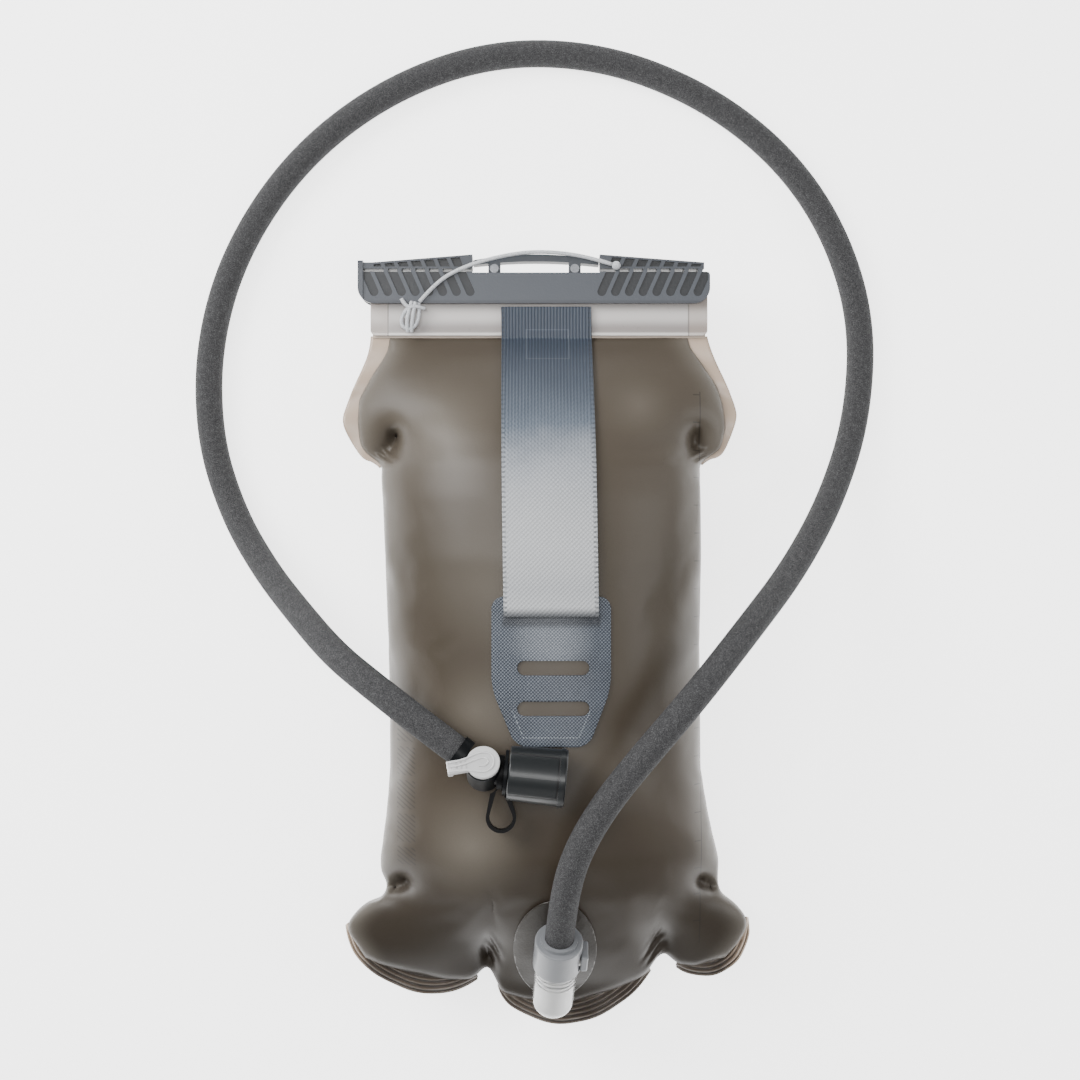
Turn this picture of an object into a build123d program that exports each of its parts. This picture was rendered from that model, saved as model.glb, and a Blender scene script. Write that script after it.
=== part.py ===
from build123d import *
import math
import os

# Hydration bladder lying on its back, filled. Millimetres.
# X runs across the bag, Y from the bottom weld to the mouth, Z up from the surface it lies on.

# reservoir film
film_wall = 0.8
sag = 6.0            # how far the round sections reach below the surface before they are cut flat
lean_at_zero = -1.5  # the bag's middle line, in X, where Y is 0
lean_slope = -0.0148
bag_half_width = 78.0
bag_depth = 96.0
mouth_end = 154.0    # Y where the bag closes to its mouth
rail_z = 38.0        # height of the mouth's mid-plane
# each: Y, half-width over bag_half_width, low and high side over bag_depth
bag_sections = [
    (154, 0.970, 0.377, 0.415), (146, 1.018, 0.315, 0.500), (134, 1.110, 0.220, 0.620),
    (120, 1.180, 0.120, 0.740), (106, 1.180, 0.050, 0.845), (90, 1.075, 0.000, 0.925),
    (74, 1.035, -0.040, 0.965), (43, 1.020, -sag / 96, 1.000), (0, 1.000, -sag / 96, 1.000),
    (-48, 1.003, -sag / 96, 0.995), (-80, 1.040, -sag / 96, 0.975), (-104, 1.070, -0.040, 0.940),
    (-122, 1.078, 0.000, 0.855), (-138, 1.170, 0.060, 0.735), (-154, 1.200, 0.160, 0.615),
    (-165, 1.110, 0.265, 0.515), (-173, 0.940, 0.335, 0.415),
]
seam_points = [(-200, 33), (-165, 37), (-110, 42), (-40, 46), (50, 46), (110, 42), (154, 38), (160, 38)]
margin_thick = 1.6   # two films welded together
weld_ridge = 0.8     # height of the ridges pressed into the bottom margin
ridge_steps = (2.6, 5.4, 8.2)
ridge_width = 1.0
ridge_top = -150.0

# mouth, seen along X: heights are from the rail's mid-plane
lip_half = 0.9
band_thick = 1.6
band_low = 155.0
band_high = 183.0
band_left = -88.5
band_right = 81.5
bead_low = 176.0
bead_high = 181.0
bead_height = 2.0
fold_y = 182.9
flap_low = 163.0
flap_gap = 0.8

# slide seal
slide_left = -94.6
slide_right = 82.5
slide_low = 171.0
slide_top = 187.0
slide_wall = 2.0
slide_play = 0.5     # gap between the channel and what it grips
slide_hook = 3.6     # how far up each hook reaches below the beads
slide_end = 2.6      # thickness of the end wall
slide_corner = 8.0   # rounding of the two lower corners, seen from above
fin_low = 188.4
fin_top_inner = 195.5
fin_top_outer = 191.5
fin_depth = 9.0
window_left = -37.0
window_right = 27.0
window_floor = 186.4
post_half = 3.0
post_top = 190.6
bridge_ends = 190.4  # underside of the bridge at its ends
bridge_rise = 1.8    # how much higher it is in the middle
bridge_height = 3.6
bridge_half = 5.0
pin_y = 188.6
pin_radius = 1.5
pin_play = 0.02
pin_head = 0.7
rib_count = 8
rib_pitch = 6.9
rib_first = 5.6
pocket_width = 4.4
pocket_low = 173.6
pocket_depth = 1.2
web_pocket_depth = 2.4
web_rim = 1.0
rib_slant = 24.0

# strap and patch
strap_width = 45.0
strap_offset = 4.0   # strap's middle, from the bag's middle line
strap_thick = 1.3
strap_gap = 1.5
strap_low = 15.0
strap_high = 169.5
pad_thick = 0.9      # weld pad on the band, under the strap's end
patch_width = 57.0
patch_top = 25.0
patch_bottom = -47.0
patch_thick = 1.0
patch_gap = 0.15
window_width = 34.5
window_height = 7.0
window_ys = (-9.0, -28.5)

# port and plug, on one axis; places along it are from the hose end of the collar, + towards the hose
port_point = (6.3, -140.5, 87.5)
port_axis = (0.06, 0.755, 0.653)
flange_width = 41.0
flange_length = 55.0
flange_y = -150.5
flange_offset = 3.1
flange_thick = 1.6
bullet_radius = 10.2
bullet_grooves = (-22.8, -25.6, -28.4)
groove_depth = 0.5
nose_length = 8.0
socket_end = -54.0
socket_step = -20.0
neck_radius = 8.2
neck_end = -8.0
bore_radius = 5.6
bore_bottom = -26.5
seat_radius = 4.0
chamber_top = -28.5
chamber_radius = 6.8
chamber_bottom = -45.0
water_hole = 3.0
plug_play = 0.15
collar_radius = 11.7
skirt_radius = 8.8
nose_tip = -25.4
nose_bore = 2.2
ring_radius = 9.0
button_reach = 14.6
button_width = 11.0
button_length = 10.5
button_mid = -12.2
button_travel = 1.2
plate_thick = 1.6
plate_play = 0.2
spring_wire = 0.4
poppet_stroke = 3.0

# hose
sleeve_radius = 7.0
tube_radius = 4.8
tube_bore = 3.2
sleeve_gap = 0.2
barb_radius = 3.1
barb_cover = 4.6     # how far the tube runs on inside the collar
route = [
    (7.9, -120.8, 104.5), (13.0, -97.5, 114.5), (26.0, -73.5, 118.5), (45.5, -49.7, 116.5),
    (70.3, -22.8, 106.0), (97.0, 7.5, 83.0), (124.0, 37.4, 50.0), (147.5, 74.1, 20.0),
    (162.4, 117.2, 7.4), (164.5, 167.9, 7.3), (149.0, 215.4, 7.3), (121.1, 254.1, 7.3),
    (79.7, 284.9, 7.3), (28.0, 304.2, 7.3), (-28.2, 305.7, 7.3), (-82.2, 286.5, 7.3),
    (-128.1, 251.6, 7.3), (-160.5, 204.4, 7.3), (-175.4, 154.9, 7.3), (-175.1, 106.0, 7.6),
    (-162.2, 66.6, 13.0), (-142.7, 36.9, 32.0), (-121.5, 15.0, 61.0), (-102.3, -3.1, 86.3),
    (-82.9, -16.8, 102.6), (-61.9, -32.3, 110.5),
]

# bite valve; the hub is at hub_point, its inlet and outlet lie level and its rotor leans
hub_point = (-29.5, -56.6, 110.5)
inlet_axis = (-0.8, 0.6, 0.0)
outlet_axis = (0.995, -0.098, 0.0)
rotor_axis = (0.0, 0.423, 0.906)
hub_radius = 8.2
hub_low = -7.5
hub_high = 9.2
inlet_radius = 6.2
sleeve_stop = 14.5
rotor_radius = 5.0
rotor_play = 0.06
disc_radius = 7.9
disc_low = 9.8
disc_high = 12.6
lever_length = 17.0
lever_width = 6.4
lever_thick = 2.8
lever_tab = 4.6
lever_lean = 10.0    # the lever's turn from the -X side at rest
outlet_radius = 6.2
outlet_flange = 10.8
cover_start = 11.6
cover_length = 27.4
cover_radius_open = 12.8
cover_radius_shut = 13.7
cover_bore = 11.2
cover_end = 2.2
bite_radius = 9.2
bite_start = 12.0
bite_end = 28.4
tether_wall = 1.6
tether_low = 98.8
tether_high = 104.2

lanyard_radius = 1.0

CENTRE_LOW = (Align.CENTER, Align.CENTER, Align.MIN)


def save(name, shape):
    export_step(shape, "parts/" + name + ".step")


def unit(v):
    return Vector(*v).normalized()


def along(point, axis):
    axis = unit(axis)
    side = Vector(1, 0, 0) - axis * axis.X
    if side.length < 0.3:
        side = Vector(0, 0, 1) - axis * axis.Z
    return Plane(origin=point, x_dir=side.normalized(), z_dir=axis)


def rod(place, radius, low, high):
    return place * Pos(0, 0, low) * Cylinder(radius, high - low, align=CENTRE_LOW)


def ring(place, outer, inner, low, high):
    return rod(place, outer, low, high) - rod(place, inner, low - 1, high + 1)


def block(x0, x1, y0, y1, z0, z1):
    return Pos((x0 + x1) / 2, (y0 + y1) / 2, (z0 + z1) / 2) * Box(x1 - x0, y1 - y0, z1 - z0)


def rounded_block(x0, x1, y0, y1, z0, z1, radius, axis=Axis.Z):
    box = block(x0, x1, y0, y1, z0, z1)
    return fillet(box.edges().filter_by(axis), radius)


def prism(points, low, high):
    return Pos(0, 0, low) * extrude(make_face(Polyline(*points, close=True)), high - low)


def middle(y):
    return lean_at_zero + lean_slope * y


def bag_solid(grow):
    """The inflated shape, grown outwards by grow and cut flat where it rests."""
    faces = []
    for y, wide, low, high in bag_sections:
        height = (high - low) * bag_depth
        place = Plane(origin=(middle(y), y, low * bag_depth + height / 2), x_dir=(1, 0, 0), z_dir=(0, 1, 0))
        faces.append(place * Ellipse(wide * bag_half_width + grow, height / 2 + grow))
    solid = loft(faces)
    return solid & block(-200, 200, -250, 250, max(0.0, -grow), 200)


def notches(grow):
    """The two gaps between the lobes of the bottom weld."""
    cuts = Part()
    for x, top, left, right in ((-29.5, -167.5, 6.0, 4.0), (58.0, -160.5, 5.0, 9.0)):
        radius = 3.0 + grow
        cuts += Pos(x, top - 3.0, 0) * Cylinder(radius, 200)
        corners = [(x - radius, top - 3), (x + radius, top - 3), (x + right + grow, -200),
                   (x - left - grow, -200)]
        cuts += prism(corners, 0, 120)
    return cuts


def outline():
    """Plan shape of the welded margins, the lobes of the bottom weld included."""
    left = [(-86, 156), (-90, 146), (-98, 134), (-103, 121), (-100.5, 109), (-91, 95), (-82, 86), (-80, 60),
            (-79, 0), (-79.5, -60), (-84, -100), (-83.5, -121), (-92, -129), (-101, -136), (-103.2, -146)]
    right = [(103.6, -141), (99, -132), (91, -126), (84, -120), (84.5, -100), (78.5, -60), (76.5, 0),
             (78, 60), (78, 84), (89, 95), (95, 109), (97, 121), (92, 134), (84, 146), (80, 156)]
    bottom = Spline(left[-1], (-98, -160), (-81, -173.5), (-57, -180.5), (-36, -175))
    bottom += Line((-36, -175), (-24.8, -178.5))
    bottom += ThreePointArc((-24.8, -178.5), (11, -195.8), (53, -170.5)) + Line((53, -170.5), (67, -164))
    bottom += Spline((67, -164), (83, -172), (98, -162), right[0])
    edge = Spline(*left) + bottom + Spline(*right) + Line(right[-1], left[0])
    return make_face(edge)


def seam_band(low, high):
    """A band that follows the seam across the whole width, from low to high about it."""
    upper = [(y, z + high) for y, z in seam_points]
    lower = [(y, z + low) for y, z in reversed(seam_points)]
    edge = Spline(*upper) + Line(upper[-1], lower[0]) + Spline(*lower) + Line(lower[-1], upper[0])
    return Plane.YZ * extrude(make_face(edge), 130, both=True)


def films(outer, port_hole):
    lobes = extrude(outline(), 120) - notches(0)
    closed_end = bag_sections[-1][0] + film_wall
    inner = (bag_solid(-film_wall) - notches(film_wall)) & block(-200, 200, closed_end, 200, 0, 200)
    # the mouth end stays open between the lips
    shell = outer - notches(0) - inner
    margin = (seam_band(-margin_thick / 2, margin_thick / 2) & lobes) - outer
    margin = margin & block(-200, 200, -250, mouth_end, 0, 100)
    film = shell + margin
    front = (film & seam_band(0, 120)) - port_hole
    rear = film & seam_band(-120, 0)
    return front, rear


def weld_ridges(outer):
    """Ridges pressed along the bottom margin, in step with its edge."""
    ridges = Part()
    face = outline()
    for step in ridge_steps:
        strip = offset(face, -step + ridge_width / 2) - offset(face, -step - ridge_width / 2)
        ridges += extrude(strip, 120)
    ridges &= block(-200, 200, -250, ridge_top, 0, 120)
    level = seam_band(margin_thick / 2 + 0.02, margin_thick / 2 + weld_ridge)
    ridges = (ridges & level) - outer - notches(1.5)
    return Compound([ridge for ridge in ridges.solids() if ridge.volume > 5])


def mouth():
    """Lips, bands and the rail on the fold; built flat and stacked about the rail's mid-plane."""
    z = rail_z
    x0, x1 = band_left, band_right
    fold_out = 2 * lip_half + flap_gap / 2
    turn = Plane.YZ * Pos(fold_y, z - lip_half - flap_gap / 2) * (Circle(fold_out) - Circle(flap_gap / 2))
    turn = extrude(turn, 200, both=True) & block(x0 + 1, x1 - 1, fold_y, fold_y + 10, 0, 100)
    flap_top = z - lip_half - flap_gap
    lips = block(x0 + 1, x1 - 1, mouth_end, fold_y, z - lip_half, z + lip_half) + turn
    lips += block(x0 + 1, x1 - 1, flap_low, fold_y, flap_top - 2 * lip_half, flap_top)
    top = z + lip_half + band_thick
    front = rounded_block(x0, x1, band_low, band_high, z + lip_half, top, 3)
    front += rounded_block(x0 + 1, x1 - 1, bead_low, bead_high, top, top + bead_height, 0.9, Axis.X)
    front += rounded_block(x0 + 2, x1 - 2, band_low, band_low + 1.6, top, top + 0.8, 0.35, Axis.X)
    cx = middle(strap_high) + strap_offset
    pad_half = strap_width / 2 - 1
    front += block(cx - pad_half, cx + pad_half, band_low, strap_high - 1, top, top + pad_thick)
    # the lug that carries the lanyard, with a slot
    front += rounded_block(-74, -64, 159, 166, top, top + 2.4, 1.2)
    front -= block(-71.5, -66.5, 161.2, 163.6, top + 0.4, top + 5)
    # the fold's rail sits under the flap
    flap_under = flap_top - 2 * lip_half
    rail_low = flap_under - bead_height
    rail = rounded_block(x0 + 1, x1 - 1, bead_low, bead_high, rail_low, flap_under, 0.9, Axis.X)
    rail += block(x0 + 2, x1 - 2, flap_low + 1, bead_low + 1, flap_under - 0.8, flap_under)
    return lips, front, rail


def rib_places():
    """Middles of the slanted pockets where they cross the slit: X and slant of each."""
    places = []
    for side, inner in ((-1, window_left), (1, window_right)):
        for k in range(rib_count):
            places.append((inner + side * (rib_first + k * rib_pitch), -side * rib_slant))
    return places


def web_outline(inset):
    """The two ribbed blocks above the slit, seen from above."""
    outlines = []
    for inner, outer, step in ((window_left, slide_left + 7, -1), (window_right, slide_right - 3, 1)):
        near = inner + step * inset
        far = outer - step * inset
        outlines.append([(near, fin_low + inset), (far, fin_low + inset), (far, fin_top_outer - inset),
                         (near, fin_top_inner - inset)])
    return outlines


def slide_seal():
    z = rail_z
    top_in = z + lip_half + band_thick + bead_height + slide_play
    low_in = z - lip_half - flap_gap - 2 * lip_half - bead_height - slide_play
    top_out = top_in + slide_wall
    low_out = low_in - slide_wall
    x0, x1 = slide_left, slide_right
    body = rounded_block(x0, x1, slide_low, slide_top, low_out, top_out, 2.0)
    cavity = block(x0 + slide_end, x1 + 5, slide_low - 5, slide_top - 1.6, low_in, top_in)
    hook_top = block(x0 + 1, x1, slide_low, slide_low + slide_hook,
                     z + lip_half + band_thick + slide_play, top_in + 0.5)
    hook_low = block(x0 + 1, x1, slide_low, slide_low + slide_hook,
                     low_in - 0.5, z - lip_half - flap_gap - 2 * lip_half - 0.8 - slide_play)
    body = body - cavity + hook_top + hook_low
    # ribbed blocks above the see-through slit, joined to the channel by a bridge beside each pocket
    fin_z0 = z - fin_depth / 2 - 1
    fin_z1 = top_out
    for points in web_outline(0):
        body += prism(points, fin_z0, fin_z1)
    for x, slant in rib_places():
        side = 1 if slant < 0 else -1
        foot = x + side * rib_pitch / 2
        if x0 + 9 < foot < x1 - 5:
            body += block(foot - 1.1, foot + 1.1, slide_top - 1.2, fin_low + 0.2, fin_z0, fin_z1)
    # end wall, taller than the channel
    body += rounded_block(x0, x0 + slide_end, slide_low, fin_top_outer + 1, low_out, top_out + 1, 1.0, Axis.X)
    body += block(x0, x0 + 8, fin_low, fin_top_outer, fin_z0, fin_z1)
    # slanted pockets on the channel's face, and deeper ones in line with them on the ribbed blocks
    length = slide_top - pocket_low + 8
    inside = Part()
    for points in web_outline(web_rim):
        inside += prism(points, 0, 100)
    for x, slant in rib_places():
        lean = Rot(0, 0, slant)
        slot = Pos(x, slide_top) * lean * Pos(0, length / 2 - (slide_top - pocket_low)) * SlotOverall(
            length, pocket_width, rotation=90)
        floor = Pos(0, 0, top_out - pocket_depth)
        channel = floor * extrude(slot, 5) & block(x0 + 3, x1 - 1, 0, slide_top + 0.1, 0, 100)
        body -= channel
        upper = Pos(x, slide_top) * lean * Rectangle(pocket_width, 30)
        body -= Pos(0, 0, top_out - web_pocket_depth) * extrude(upper, 5) & inside
    # posts for the hanger bridge, in a window with a lower floor
    body -= block(window_left, window_right, window_floor, 300, -100, 200)
    for post in (window_left + 11, window_right - 12.5):
        body += block(post - post_half, post + post_half, window_floor - 0.5, post_top, z - 1.5, z + 1.5)
        body -= Pos(post, pin_y, 0) * Cylinder(pin_radius, 200)
    # the two lower corners are rounded off
    plan = block(x0, x1, slide_low, 300, -100, 200)
    low_edges = [edge for edge in plan.edges().filter_by(Axis.Z) if edge.center().Y < slide_low + 1]
    body &= fillet(low_edges, slide_corner)
    return body, top_out


def hanger():
    z = rail_z
    left, right = window_left + 0.4, window_right - 0.4
    centre = (left + right) / 2
    posts = (window_left + 11, window_right - 12.5)
    lower = ThreePointArc((left, bridge_ends), (centre, bridge_ends + bridge_rise), (right, bridge_ends))
    upper = ThreePointArc((right, bridge_ends + bridge_height - 1.2),
                          (centre, bridge_ends + bridge_rise + bridge_height),
                          (left, bridge_ends + bridge_height - 1.2))
    edge = lower + Line(lower @ 1, upper @ 0) + upper + Line(upper @ 1, lower @ 0)
    bar = Pos(0, 0, z - bridge_half) * extrude(make_face(edge), 2 * bridge_half)
    pins = Part()
    for x in posts:
        bar -= block(x - post_half - 0.3, x + post_half + 0.3, 180, post_top + 0.4, z - 1.8, z + 1.8)
        for low, high in ((z - bridge_half, z - 1.8), (z + 1.8, z + bridge_half)):
            bar += block(x - post_half, x + post_half, window_floor + 0.5, bridge_ends + 2, low, high)
        bar -= Pos(x, pin_y, 0) * Cylinder(pin_radius, 200)
        shank = Pos(x, pin_y, z) * Cylinder(pin_radius - pin_play, 2 * bridge_half)
        head = Pos(x, pin_y, z + bridge_half) * Cylinder(pin_radius + pin_head, 0.8, align=CENTRE_LOW)
        tail = Pos(x, pin_y, z - bridge_half - 0.8) * Cylinder(pin_radius + pin_head, 0.8, align=CENTRE_LOW)
        pins += shank + head + tail
    return bar, pins


def conformal(plan, inner, outer):
    return (bag_solid(outer) - bag_solid(inner)) & plan & seam_band(1.0, 150)


def strap_and_patch():
    x = strap_offset
    strap_plan = prism([(middle(strap_high) + x - strap_width / 2, strap_high),
                        (middle(strap_high) + x + strap_width / 2, strap_high),
                        (middle(strap_low) + x + strap_width / 2, strap_low),
                        (middle(strap_low) + x - strap_width / 2, strap_low)], 0, 150)
    strap = conformal(strap_plan, strap_gap, strap_gap + strap_thick)
    low = rail_z + lip_half + band_thick + pad_thick
    strap += strap_plan & block(-80, 80, mouth_end - 0.4, strap_high, low, low + strap_thick)
    cx = middle(0) + x
    half = patch_width / 2
    patch_plan = prism([(cx - half, -19), (cx - half, patch_top - 8), (cx - half + 4, patch_top),
                        (cx + half - 4, patch_top), (cx + half, patch_top - 8), (cx + half, -19),
                        (cx + 17.5, patch_bottom), (cx - 15.5, patch_bottom)], 0, 150)
    patch_plan = fillet(patch_plan.edges().filter_by(Axis.Z), 4)
    for y in window_ys:
        patch_plan -= Pos(cx + 1, y, 0) * extrude(SlotOverall(window_width, window_height), 150)
    patch = conformal(patch_plan, patch_gap, patch_gap + patch_thick)
    return strap, patch


def coil(radius, height, turns, wire):
    path = Helix(height / turns, height, radius)
    start = Plane(origin=path @ 0, z_dir=path % 0)
    return sweep(start * Circle(wire), path=path)


def port():
    place = along(port_point, port_axis)
    disc = Ellipse(flange_width / 2, flange_length / 2)
    plan = Pos(middle(flange_y) + flange_offset, flange_y, 0) * extrude(disc, 150)
    flange = conformal(plan, patch_gap, patch_gap + flange_thick) & block(-200, 200, -176, 0, 0, 200)
    top = bag_solid(patch_gap + flange_thick + 0.05)
    nose_start = socket_end + nose_length
    profile = (Line((0, socket_end), (0, neck_end)) + Line((0, neck_end), (neck_radius, neck_end))
               + Line((neck_radius, neck_end), (neck_radius, socket_step))
               + Line((neck_radius, socket_step), (bullet_radius, socket_step))
               + Line((bullet_radius, socket_step), (bullet_radius, nose_start))
               + Spline((bullet_radius, nose_start), (0, socket_end), tangents=((0, -1), (-1, 0))))
    solid = place * revolve(Plane.XZ * make_face(profile), Axis.Z)
    foot = place * Pos(0, 11, -35) * Box(13, 22, 22)
    socket = solid + (foot - top)
    socket -= top & (place * Pos(0, 0, -35) * Box(60, 60, 60))
    socket -= rod(place, bore_radius, bore_bottom, neck_end + 1)
    socket -= rod(place, seat_radius, chamber_top - 1, bore_bottom + 1)
    socket -= rod(place, chamber_radius, chamber_bottom, chamber_top)
    socket -= ring(place, neck_radius + 1, neck_radius - 0.6, -13.2, -11.2)
    for spot in bullet_grooves:
        socket -= ring(place, bullet_radius + 1, bullet_radius - groove_depth, spot - 0.6, spot + 0.6)
    hole_place = Plane(origin=place.from_local_coords(Vector(0, 0, -38)), z_dir=place.y_dir)
    hole = rod(hole_place, water_hole, 4.0, 24.0)
    seal_place = neck_end - 3.0
    seat = ring(place, bore_radius + 1.4, bore_radius - 0.3, seal_place - 0.8, seal_place + 0.8)
    socket -= seat
    seal = place * Pos(0, 0, seal_place) * Torus(bore_radius + 0.48, 0.55)
    socket -= hole
    flange -= hole
    poppet = rod(place, 5.6, chamber_top - poppet_stroke - 1.8, chamber_top - poppet_stroke - 0.2)
    poppet += rod(place, 1.5, chamber_top - poppet_stroke - 0.2, nose_tip - 0.9)
    poppet += rod(place, 3.4, nose_tip - 1.3, nose_tip - 0.1)
    bottom = chamber_bottom + spring_wire + 0.1
    top_end = chamber_top - poppet_stroke - 1.8 - spring_wire - 0.1
    spring = place * Pos(0, 0, bottom) * coil(4.4, top_end - bottom, 4, spring_wire)
    return flange, socket, seal, poppet, spring, hole


def plug():
    place = along(port_point, port_axis)
    low = socket_step + 0.4
    collar = rod(place, collar_radius, low, -1.0)
    collar = fillet(collar.edges().filter_by(GeomType.CIRCLE), 0.8)
    collar -= rod(place, skirt_radius, low - 1, neck_end + 0.4)
    collar -= rod(place, 8.4, neck_end + 0.3, -5.0)
    collar -= rod(place, ring_radius, -5.0, 0)
    plate_room = plate_thick / 2 + plate_play
    collar -= rod(place, 11.1, button_mid - plate_room, button_mid + plate_room)
    pocket = place * Pos(9.5 + 10, 0, button_mid) * Box(20, button_width + 0.4, button_length + 0.4)
    collar -= pocket
    collar -= place * Pos(-5.5, 12.6, -4.6) * Box(9, 3, 1.4)
    nose = rod(place, bore_radius - plug_play, nose_tip, -6.8)
    nose += rod(place, 8.3, neck_end + 0.5, -5.1)
    nose += rod(place, barb_radius, -5.2, 12.0)
    for spot in (-22.5, -18.5):
        nose -= ring(place, bore_radius + 1, 4.35, spot - 0.7, spot + 0.7)
    nose -= rod(place, nose_bore, nose_tip - 1, 13)
    rings = Part()
    for spot in (-22.5, -18.5):
        rings += place * Pos(0, 0, spot) * Torus(4.93, 0.56)
    outer_x = button_reach
    inner_x = 11.0
    button = Box(outer_x - inner_x, button_width, button_length)
    button = place * Pos((outer_x + inner_x) / 2, 0, button_mid) * button
    button = fillet(button.edges(), 0.9)
    hole_dir = Plane(origin=place.from_local_coords(Vector(inner_x, 0, button_mid - 3.0)), z_dir=place.x_dir)
    button -= rod(hole_dir, 1.7, -1, 2.4)
    slot = place * Pos(0, 0, button_mid - plate_thick / 2)
    disc = Pos(0.4, 0) * Circle(10.2)
    opening = Circle(skirt_radius - 0.1) + Pos(button_travel + 0.1, 0) * Circle(skirt_radius - 0.1)
    tongue = Pos((6.0 + inner_x) / 2, 0) * Rectangle(inner_x - 6.0, button_width - 0.2)
    plate = slot * extrude(disc + tongue - opening, plate_thick)
    plate -= rod(hole_dir, 1.9, -3, 6)
    spring_place = Plane(origin=place.from_local_coords(Vector(9.8, 0, button_mid - 3.0)), z_dir=place.x_dir)
    spring = spring_place * coil(1.2, 3.1, 4, 0.22)
    grip = ring(place, ring_radius, sleeve_radius + 0.15, -5.0, 1.2)
    return collar, nose, rings, button, plate, spring, grip


def hose():
    start = Vector(*port_point)
    hub = Vector(*hub_point)
    end = hub + unit(inlet_axis) * sleeve_stop
    points = [start] + [Vector(*p) for p in route] + [end]
    radii = []
    for i in range(1, len(points) - 1):
        back = points[i] - points[i - 1]
        ahead = points[i + 1] - points[i]
        turn = math.radians(back.get_angle(ahead))
        radii.append(0.45 * min(back.length, ahead.length) / math.tan(turn / 2))
    print("bend radii", [round(r) for r in radii])
    path = FilletPolyline(*points, radius=radii)
    print("hose length", round(path.length, 1))
    first = Plane(origin=path @ 0, z_dir=path % 0)
    sleeve = sweep(first * (Circle(sleeve_radius) - Circle(tube_radius + sleeve_gap)), path=path)
    want = math.pi * (sleeve_radius ** 2 - (tube_radius + sleeve_gap) ** 2) * path.length
    print("sleeve volume", round(sleeve.volume), "section x length", round(want))
    # the tube alone runs on at both ends, over the barbs
    points[0] = start - unit(port_axis) * barb_cover
    points[-1] = hub + unit(inlet_axis) * (inlet_stop() + 0.2)
    path = FilletPolyline(*points, radius=radii)
    first = Plane(origin=path @ 0, z_dir=path % 0)
    tube = sweep(first * (Circle(tube_radius) - Circle(tube_bore)), path=path)
    return tube, sleeve


def inlet_stop():
    return hub_radius + 1.6


def valve():
    turn = along(hub_point, rotor_axis)
    inlet = along(hub_point, inlet_axis)
    outlet = along(hub_point, outlet_axis)
    body = rod(turn, hub_radius, hub_low, hub_high)
    body = fillet(body.edges().filter_by(GeomType.CIRCLE), 1.0)
    body += rod(inlet, inlet_radius, 0, inlet_stop())
    body += rod(inlet, barb_radius, inlet_stop(), sleeve_stop + 12)
    body += rod(outlet, outlet_radius, 0, 9.8) + rod(outlet, outlet_flange, 9.6, 11.2)
    body += rod(outlet, 4.4, 11.2, 19.0) + rod(outlet, 5.2, 15.5, 16.8)
    body -= rod(turn, rotor_radius, hub_low + 2.0, hub_high + 2)
    body -= rod(inlet, 2.1, 3, 40) + rod(outlet, 2.4, 3, 30)
    rotor = rod(turn, rotor_radius - rotor_play, hub_low + 2.1, hub_high)
    rotor += turn * Pos(0, 0, hub_high + 1.0) * Box(4.6, 4.6, 3.0)
    rotor -= rod(outlet, 2.2, -20, 20) + rod(inlet, 2.2, 0, 20)
    seals = Part()
    for spot in (hub_low + 3.4, hub_high - 2.0):
        rotor -= ring(turn, rotor_radius + 1, 3.9, spot - 0.6, spot + 0.6)
        seals += turn * Pos(0, 0, spot) * Torus(4.43, 0.51)
    lever = rod(turn, disc_radius, disc_low, disc_high)
    lever = fillet(lever.edges().filter_by(GeomType.CIRCLE), 0.8)
    swing = turn * Rot(0, 0, lever_lean)
    arm = Box(lever_length - 2, lever_width, lever_thick)
    arm = swing * Pos(-lever_length / 2 - 1, 0, disc_high - lever_thick / 2) * arm
    tab = swing * Pos(-lever_length + 1.2, 0, disc_high - lever_tab / 2) * Box(2.6, lever_width, lever_tab)
    lever += fillet((arm + tab).edges().filter_by(GeomType.LINE), 0.5)
    for k in range(3):
        lever -= swing * Pos(-lever_length + 4.6 + 2.2 * k, 0, disc_high) * Box(0.8, lever_width - 1.4, 1.2)
    lever -= turn * Pos(0, 0, hub_high + 1.0) * Box(4.6, 4.6, 3.0)
    outer = sleeve_radius + 1.1
    ring_stop = ring(inlet, outer, sleeve_radius + 0.15, sleeve_stop - 3.4, sleeve_stop + 1.4)
    ring_stop += ring(inlet, outer, tube_radius + 0.3, sleeve_stop - 3.4, sleeve_stop - 0.2)
    return body, rotor, seals, lever, ring_stop


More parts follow.
